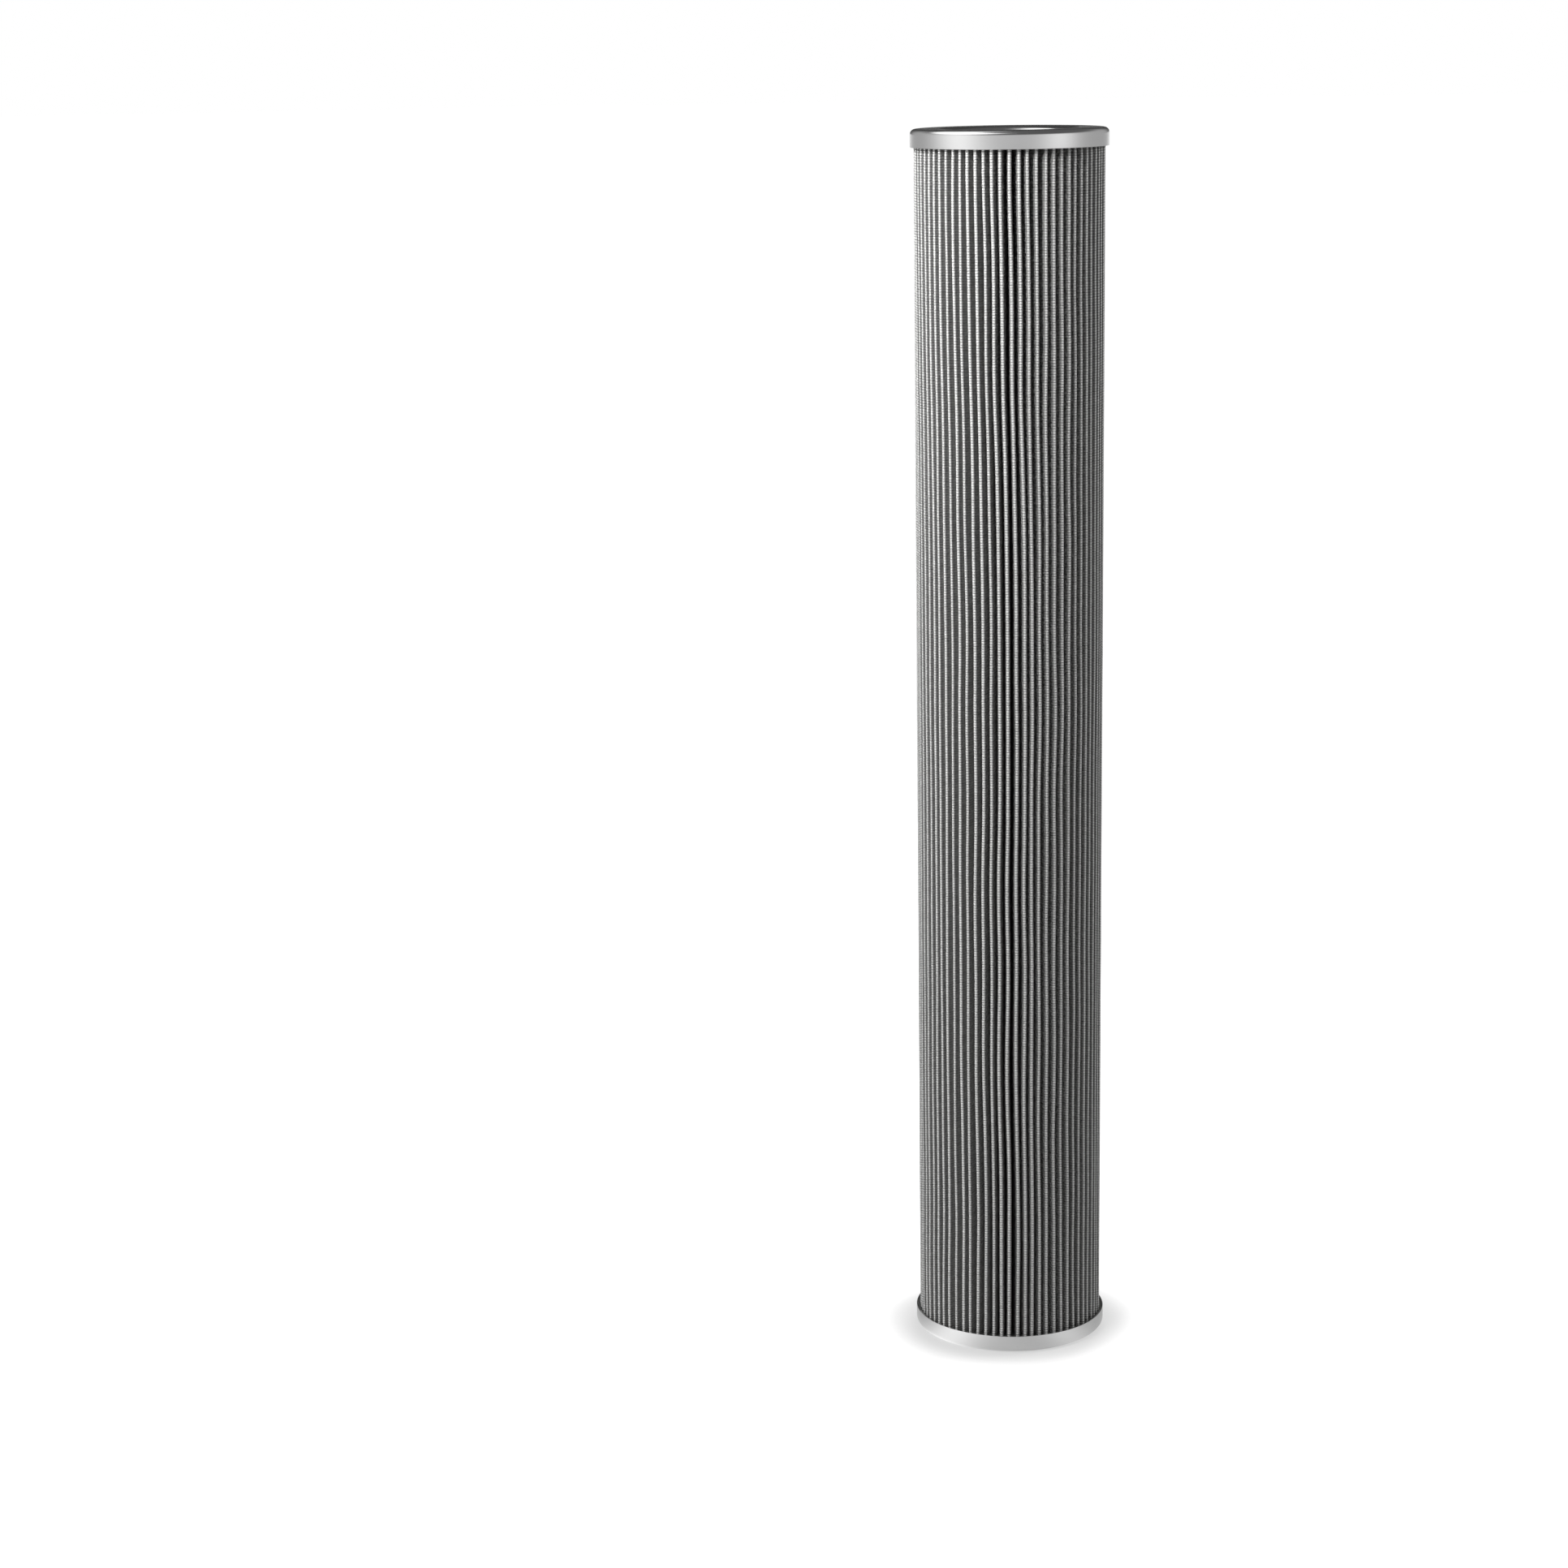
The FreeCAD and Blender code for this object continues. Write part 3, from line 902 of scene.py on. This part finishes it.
class FILTER_OT_pleat_pack(bpy.types.Operator):
    """Add the outer support mesh, the filter media and the inner support mesh, folded together"""

    bl_idname = "filter_element.pleat_pack"
    bl_label = "Pleat Pack"

    def execute(self, context):
        pack, finish = context.scene.filter_pack, context.scene.filter_finishes
        outer_wire = wire_material("outer wire", finish, pack, share=0.9, relief=0.3 * MM)
        inner_wire = wire_material("inner wire", finish, pack, share=0.7, relief=0.2 * MM)
        fibre = matt_material("media fibre", finish.media, scale=2500.0, roughness=0.85,
                              relief=0.05 * MM)
        offset, valley_steps = 0.0, 2
        for name, node, thickness, rows, tip_steps, material, slot in (
                ("folded_outer_mesh", "outer_support_mesh", pack.outer_mesh, 58, 6, outer_wire,
                 "wire_mesh"),
                ("folded_media", "filter_media", pack.media, 40, 3, fibre, "media_fibre"),
                ("folded_inner_mesh", "inner_support_mesh", pack.inner_mesh, 40, 3, inner_wire,
                 "wire_mesh")):
            points, quads, coordinates, depth = folded_layer(
                pack, offset, thickness, rows, tip_steps, valley_steps)
            mesh_piece(name, points, quads, material, slot, [node], coordinates, depth)
            offset += thickness
        return {"FINISHED"}


class FILTER_OT_compound(bpy.types.Operator):
    """Dress the potting compound and the side seam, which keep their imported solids"""

    bl_idname = "filter_element.compound"
    bl_label = "Potting and Seam"

    def execute(self, context):
        compound = matt_material("potting compound", context.scene.filter_finishes.compound,
                                 scale=420.0, roughness=0.6, relief=0.1 * MM)
        for node in ("upper_potting", "lower_potting", "side_seam_sealant"):
            dress_node(node, compound)
        return {"FINISHED"}


# Stage

def stage_surface(name, points, glow):
    """Open surface of the stage from a grid of points, with a glow at each point."""
    across, up = points.shape[:2]
    first = (np.arange(across - 1)[:, None] * up + np.arange(up - 1)[None, :]).reshape(-1)
    quads = np.stack((first, first + up, first + up + 1, first + 1), axis=1)
    mesh = bpy.data.meshes.new(name)
    mesh.from_pydata(points.reshape(-1, 3).tolist(), [], quads.tolist())
    fill(mesh.attributes.new("glow", "FLOAT", "POINT").data, "value", glow)
    surface = bpy.data.objects.new(name, mesh)
    bpy.context.scene.collection.objects.link(surface)
    return surface


def glow_here(tree):
    """The glow of a stage surface where a ray meets it."""
    return add_node(tree, "ShaderNodeAttribute", {"attribute_name": "glow"}).outputs["Fac"]


def seen_rays(tree):
    """One for rays that reach the camera straight, by a mirror or through glass, else zero."""
    path = tree.nodes.new("ShaderNodeLightPath").outputs
    seen = maths(tree, "MAXIMUM", path["Is Camera Ray"], path["Is Glossy Ray"])
    return maths(tree, "MAXIMUM", seen, path["Is Transmission Ray"])


def room_glow(bearing, right_window=0.62):
    """Brightness of the room at a bearing in degrees, with zero in front and left negative.

    A grey that fades towards the back, plus a bell curve of the bearing for the broad window on
    the left and another, as bright as right_window, for the narrow one on the right.
    """
    grey = 0.78 - 0.30 * np.abs(bearing) / 180
    return grey + 0.88 * bell(bearing, -61, 34) + right_window * bell(bearing, 60, 24)


def wall_glow(bearing, reach, height):
    """Brightness of the reflected studio at a bearing in degrees, a reach and a height in metres.

    Behind the element the wall is white up to a little above the element's top, and dark higher
    up. Logistic steps join that to the room's own glow. Above 30 degrees, seen from the upper
    end, comes a dim ceiling with one oval window high on the left.
    """
    behind_from, white_top, dark, ceiling_from, dim = 156, 0.70, 0.05, 30, 0.15
    window, window_bearing, window_rise, half_width, half_height = 1.9, -90, 52, 40, 22
    behind = stepped(np.abs(bearing), behind_from, 5)
    backdrop = 1 - (1 - dark) * stepped(height, white_top, 0.02)
    wall = room_glow(bearing) * (1 - behind) + backdrop * behind
    raised = np.degrees(np.arctan2(height - TOTAL_LENGTH, reach))
    across = (bearing - window_bearing) * np.cos(np.radians(raised)) / half_width
    oval = np.hypot(across, (raised - window_rise) / half_height)
    ceiling = dim + window * stepped(-oval, -1, 0.08)
    over = stepped(raised, ceiling_from, 2.5)
    return wall * (1 - over) + ceiling * over


def add_lamp(name, place, aim, width, height, power):
    """Rectangular soft light that faces a height on the axis and that no reflection shows."""
    lamp = bpy.data.lights.new(name, "AREA")
    lamp.shape, lamp.size, lamp.size_y, lamp.energy = "RECTANGLE", width, height, power
    lamp.spread = math.radians(90)
    holder = bpy.data.objects.new(name, lamp)
    bpy.context.scene.collection.objects.link(holder)
    holder.location = place
    ahead = Vector((0.0, 0.0, aim)) - Vector(place)
    holder.rotation_euler = ahead.to_track_quat("-Z", "Y").to_euler()
    holder.visible_glossy = False


# Each lamp's name, place, the height that it faces, its width and height, and its power in watts
LAMPS = (
    ("key", (-0.56, -0.66, 1.27), 0.90, 0.45, 0.45, 5.7),
    ("left softbox", (-1.42, -0.64, 0.50), 0.35, 0.8, 0.8, 2.6),
    ("right rim", (1.05, 0.42, 1.15), 0.60, 0.5, 0.8, 3.0),
    ("front fill", (-0.118, -1.75, 0.80), 0.60, 0.3, 0.3, 0.4),
    ("back softbox", (0.2, 1.60, 0.95), 0.40, 1.0, 1.0, 7.0),
)


class FILTER_OT_stage(bpy.types.Operator):
    """Set up the camera, the white floor, the reflected studio and the lights"""

    bl_idname = "filter_element.stage"
    bl_label = "Stage"

    def execute(self, context):
        self.add_camera(context)
        self.add_floor(context)
        self.add_wall(context)
        self.add_light(context)
        return {"FINISHED"}

    def add_camera(self, context):
        """Camera in front of the element, turned to the side, dipped and rolled."""
        stage = context.scene.filter_stage
        turn, dip, roll = stage.camera_turn, stage.camera_dip, stage.camera_roll
        ahead = Vector((math.sin(turn) * math.cos(dip), math.cos(turn) * math.cos(dip),
                        -math.sin(dip)))
        right = Vector((math.cos(turn), -math.sin(turn), 0.0))
        above = right.cross(ahead)
        rolled_right = right * math.cos(roll) + above * math.sin(roll)
        rolled_above = above * math.cos(roll) - right * math.sin(roll)
        lens = bpy.data.cameras.new("camera")
        lens.lens, lens.sensor_width, lens.clip_end = stage.camera_lens, 36.0, 200.0
        camera = bpy.data.objects.new("camera", lens)
        context.scene.collection.objects.link(camera)
        axes = Matrix((rolled_right, rolled_above, -ahead)).transposed()
        place = Matrix.Translation((0.0, -stage.camera_distance, stage.camera_height))
        camera.matrix_world = place @ axes.to_4x4()
        context.scene.camera = camera

    def add_floor(self, context):
        """White floor: a disc just under the cap, with a painted shadow near it.

        Its glow, which only reflections show, is the room's, drawn in towards the front, a
        little dimmer and with a fainter window on the right.
        """
        stage = context.scene.filter_stage
        drop, first_ring, rings, bearings = 0.2 * MM, 40 * MM, 24, 73
        painted_shadow_start, painted_shadow_end, painted_shadow_darkest = 48 * MM, 79 * MM, 0.53
        bearing = np.radians(np.linspace(-180, 180, bearings))[:, None]
        reach = np.append(0.0, np.geomspace(first_ring, stage.floor_size / 2, rings))[None, :]
        points = around(bearing - math.pi / 2, reach, -drop)
        glow = 0.98 * room_glow(1.3 * np.degrees(bearing), right_window=0.32) - 0.19
        floor = stage_surface("floor", points, np.broadcast_to(glow, points.shape[:2]))
        material, tree, shader, where = new_material("white floor")
        distance = add_node(tree, "ShaderNodeVectorMath", {"operation": "LENGTH"},
                            {0: where["Object"]}).outputs["Value"]
        # painted shadow: the glow that the camera sees falls towards the element's axis, down to
        # 0.53
        painted_shadow_glow = spread(tree, distance, (painted_shadow_start, painted_shadow_end), (painted_shadow_darkest, 1.0))
        path = tree.nodes.new("ShaderNodeLightPath").outputs
        straight = maths(tree, "MAXIMUM", path["Is Camera Ray"], path["Is Transmission Ray"])
        shown = maths(tree, "MULTIPLY", straight, painted_shadow_glow)
        mirrored = maths(tree, "MULTIPLY", path["Is Glossy Ray"], glow_here(tree))
        feed(tree, shader, {
            "Base Color": (0.26, 0.26, 0.26, 1.0),
            "Roughness": 0.9,
            "Specular IOR Level": 0.0,
            "Emission Color": (1.0, 1.0, 1.0, 1.0),
            "Emission Strength": maths(tree, "MAXIMUM", shown, mirrored)})
        floor.data.materials.append(material)

    def add_wall(self, context):
        """Studio wall and ceiling that only reflections see, with a glow by direction."""
        stage = context.scene.filter_stage
        bearings, rows_up, rows_in = 91, 61, 41
        bearing = np.radians(np.linspace(-180, 180, bearings))[:, None]
        up = np.linspace(0.0, stage.wall_height, rows_up)
        inward = np.linspace(stage.wall_radius, 0.0, rows_in)[1:]
        reach = np.append(np.full_like(up, stage.wall_radius), inward)[None, :]
        height = np.append(up, np.full_like(inward, stage.wall_height))[None, :]
        wall = stage_surface("studio_wall", around(bearing - math.pi / 2, reach, height),
                             wall_glow(np.degrees(bearing), reach, height))
        material = bpy.data.materials.new("studio wall")
        tree = empty_tree(material)
        light = add_node(tree, "ShaderNodeEmission", None, {"Strength": glow_here(tree)})
        add_node(tree, "ShaderNodeOutputMaterial", None, {"Surface": light.outputs[0]})
        wall.data.materials.append(material)
        wall.visible_camera = wall.visible_diffuse = wall.visible_shadow = False
        wall.visible_transmission = wall.visible_volume_scatter = False

    def add_light(self, context):
        """Surroundings that are seen white but light the element faintly, and the lamps."""
        ambient = 0.06
        world = bpy.data.worlds.new("studio")
        tree = empty_tree(world)
        strength = maths(tree, "MULTIPLY_ADD", seen_rays(tree), 1 - ambient, ambient)
        background = add_node(tree, "ShaderNodeBackground", None,
                              {"Color": (1.0, 1.0, 1.0, 1.0), "Strength": strength})
        add_node(tree, "ShaderNodeOutputWorld", None, {"Surface": background.outputs[0]})
        context.scene.world = world
        for lamp in LAMPS:
            add_lamp(*lamp)


class FILTER_PT_panel(bpy.types.Panel):
    """Sidebar panel with the sizes, the finishes and a button for each group of pieces"""

    bl_idname = "FILTER_PT_panel"
    bl_label = "Filter Element"
    bl_space_type = "VIEW_3D"
    bl_region_type = "UI"
    bl_category = "Filter Element"

    def draw(self, context):
        for operator in OPERATORS:
            self.layout.operator(operator.bl_idname)
        for owner in GROUPS:
            box = self.layout.box()
            group = getattr(context.scene, owner)
            for field in group.bl_rna.properties:
                if field.identifier not in ("rna_type", "name"):
                    box.prop(group, field.identifier)


GROUPS = {
    "filter_caps": CapSizes,
    "filter_pack": PackSizes,
    "filter_core": CoreSizes,
    "filter_finishes": Finishes,
    "filter_stage": StageSizes,
}
OPERATORS = (
    FILTER_OT_end_caps,
    FILTER_OT_seal_retainers,
    FILTER_OT_seal_rings,
    FILTER_OT_core_tube,
    FILTER_OT_pleat_pack,
    FILTER_OT_compound,
    FILTER_OT_stage,
)


def register():
    for group in GROUPS.values():
        bpy.utils.register_class(group)
    for name, group in GROUPS.items():
        setattr(bpy.types.Scene, name, PointerProperty(type=group))
    for operator in OPERATORS:
        bpy.utils.register_class(operator)
    bpy.utils.register_class(FILTER_PT_panel)


def unregister():
    bpy.utils.unregister_class(FILTER_PT_panel)
    for operator in reversed(OPERATORS):
        bpy.utils.unregister_class(operator)
    for name in GROUPS:
        delattr(bpy.types.Scene, name)
    for group in reversed(list(GROUPS.values())):
        bpy.utils.unregister_class(group)


def main():
    register()
    bpy.context.scene.view_settings.view_transform = "Standard"
    for operator in OPERATORS:
        space, action = operator.bl_idname.split(".")
        if getattr(getattr(bpy.ops, space), action)() != {"FINISHED"}:
            raise RuntimeError(f"{operator.bl_label} did not finish")


if __name__ == "__main__":
    main()
